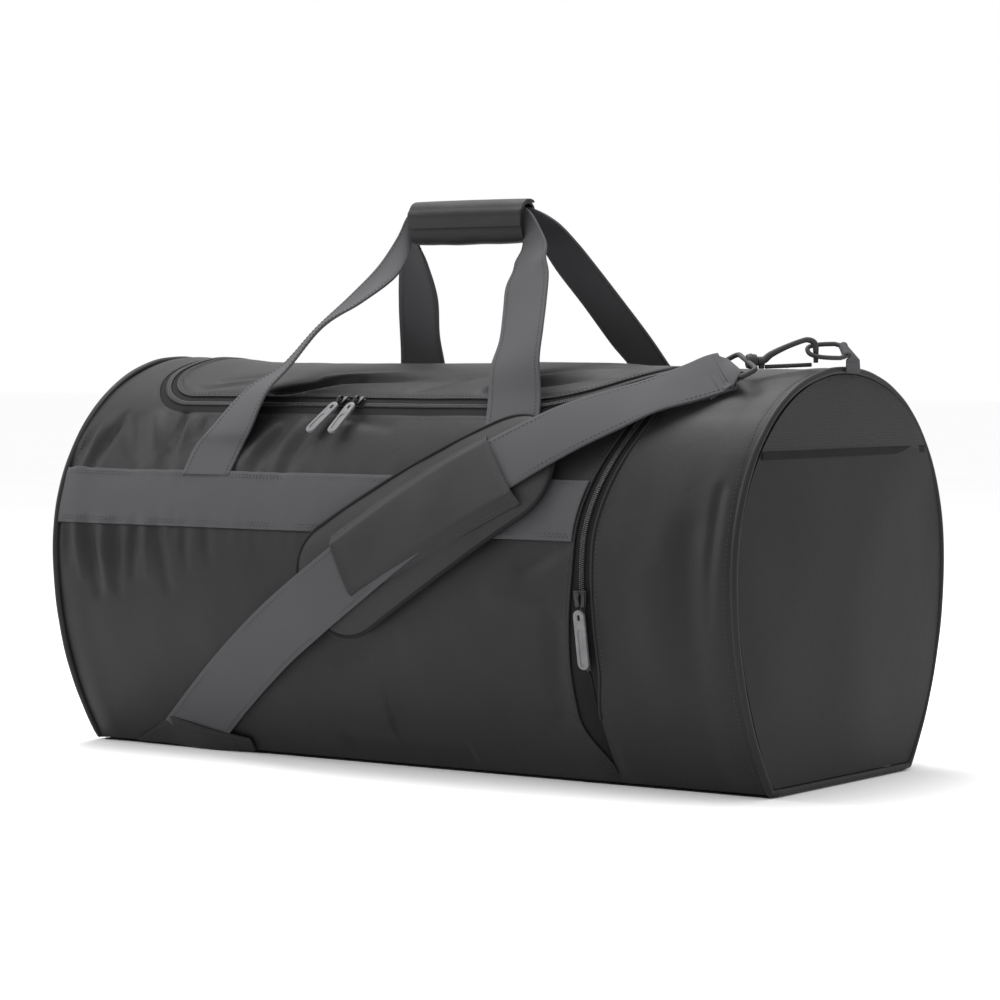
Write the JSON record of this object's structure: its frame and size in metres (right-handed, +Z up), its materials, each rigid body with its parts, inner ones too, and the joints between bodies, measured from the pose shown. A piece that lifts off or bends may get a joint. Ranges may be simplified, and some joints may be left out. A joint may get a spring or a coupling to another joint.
{
  "type": "duffel bag",
  "caption": "Barrel-shaped sports duffel with a zipped lid, zipped end pocket, wrapped carrying handles and a hooked shoulder strap with pad.",
  "frame": {"origin": "centre of the flat base, on the surface it stands on", "axes": "+X along the bag towards the pocket end, -Y is the front with the shoulder strap, +Z up"},
  "size_m": [0.687, 0.3435, 0.4605],
  "materials": {
    "body_cloth": "coated polyester with a soft sheen",
    "base_cloth": "matte coated polyester",
    "end_cloth": "matte polyester",
    "board": "matte sheet",
    "lining": "thin matte lining",
    "vent_mesh": "open knitted mesh",
    "piping": "matte woven tape",
    "zip_tape": "matte woven tape",
    "webbing": "matte ribbed webbing",
    "grip_cloth": "padded woven cloth",
    "fastener": "hook and loop tape",
    "pad_cloth": "padded woven cloth",
    "zip_metal": "satin black",
    "pull": "moulded, matte",
    "hardware": "moulded black plastic, satin"
  },
  "bodies": {
    "bag": {"base_panel": "base_cloth", "base_board": "board", "front_panel": "body_cloth", "rear_panel": "body_cloth", "top_panel": "body_cloth", "pocket_panel": "body_cloth", "divider": "lining", "left_end_panel": "end_cloth", "right_end_panel": "end_cloth", "right_end_mesh": "vent_mesh", "piping_left": "piping", "piping_right": "piping", "body_zip_tape": "zip_tape", "side_tape_body": "zip_tape", "side_tape_pocket": "zip_tape", "belt_front": "webbing", "belt_rear": "webbing", "handle_front": "webbing", "handle_rear": "webbing", "grip_wrap": "grip_cloth", "shoulder_strap": "webbing", "strap_patch": "body_cloth", "pad_foam": "pad_cloth", "pad_sleeve": "pad_cloth", "ring_tab": "webbing", "hook_eye": "hardware"},
    "lid": {"lid_panel": "body_cloth", "lid_zip_tape": "zip_tape"},
    "lid_slider_left": {"lid_slider_left": "zip_metal"},
    "lid_slider_right": {"lid_slider_right": "zip_metal"},
    "lid_pull_left": {"lid_pull_left": "pull"},
    "lid_pull_right": {"lid_pull_right": "pull"},
    "side_slider": {"side_slider": "zip_metal"},
    "side_pull": {"side_pull": "pull"},
    "grip_flap": {"grip_flap": "grip_cloth", "grip_fastener": "fastener"},
    "d_ring": {"d_ring": "hardware"},
    "hook": {"hook_body": "hardware"},
    "hook_gate": {"hook_gate": "hardware"}
  },
  "joints": [
    {"name": "lid_open", "type": "hinge", "parent": "bag", "child": "lid", "pos_m": [0, 0.1004, 0.2955], "axis": [-1, 0, 0], "range_deg": [0, 100], "deforming": ["handle_front", "handle_rear", "grip_wrap", "grip_flap", "grip_fastener"]},
    {"name": "lid_slider_left_slide", "type": "slide", "parent": "lid", "child": "lid_slider_left", "axis": [-1, 0, 0], "range_m": [0, 0.04]},
    {"name": "lid_slider_right_slide", "type": "slide", "parent": "lid", "child": "lid_slider_right", "axis": [1, 0, 0], "range_m": [0, 0.13]},
    {"name": "lid_pull_left_swing", "type": "hinge", "parent": "lid_slider_left", "child": "lid_pull_left", "pos_m": [-0.0715, -0.11457, 0.29283], "axis": [-1, 0, 0], "range_deg": [0, 120]},
    {"name": "lid_pull_right_swing", "type": "hinge", "parent": "lid_slider_right", "child": "lid_pull_right", "pos_m": [-0.0545, -0.11457, 0.29283], "axis": [-1, 0, 0], "range_deg": [0, 120]},
    {"name": "side_slider_run", "type": "hinge", "parent": "bag", "child": "side_slider", "pos_m": [0.204, 0, 0.167], "axis": [-0.9994, 0, 0.0349], "range_deg": [0, 35]},
    {"name": "side_pull_swing", "type": "hinge", "parent": "side_slider", "child": "side_pull", "pos_m": [0.204, -0.16746, 0.13797], "axis": [-1, 0, 0], "range_deg": [0, 110]},
    {"name": "grip_flap_open", "type": "hinge", "parent": "bag", "child": "grip_flap", "pos_m": [-0.0195, 0.0075, 0.4584], "axis": [-1, 0, 0], "range_deg": [0, 150]},
    {"name": "ring_swing", "type": "hinge", "parent": "bag", "child": "d_ring", "pos_m": [0.3395, 0, 0.336], "axis": [-0.5892, 0.569, 0.5736], "range_deg": [-4, 4]},
    {"name": "hook_swivel", "type": "hinge", "parent": "bag", "child": "hook", "pos_m": [0.32318, -0.0169, 0.328], "axis": [0.6947, 0.7193, 0], "range_deg": [0, 12]},
    {"name": "hook_gate_open", "type": "hinge", "parent": "hook", "child": "hook_gate", "pos_m": [0.29511, -0.04597, 0.324], "axis": [0.7193, -0.6947, 0], "range_deg": [0, 10], "stiffness_Nm_per_rad": 0.01, "springref_deg": -11.46}
  ]
}
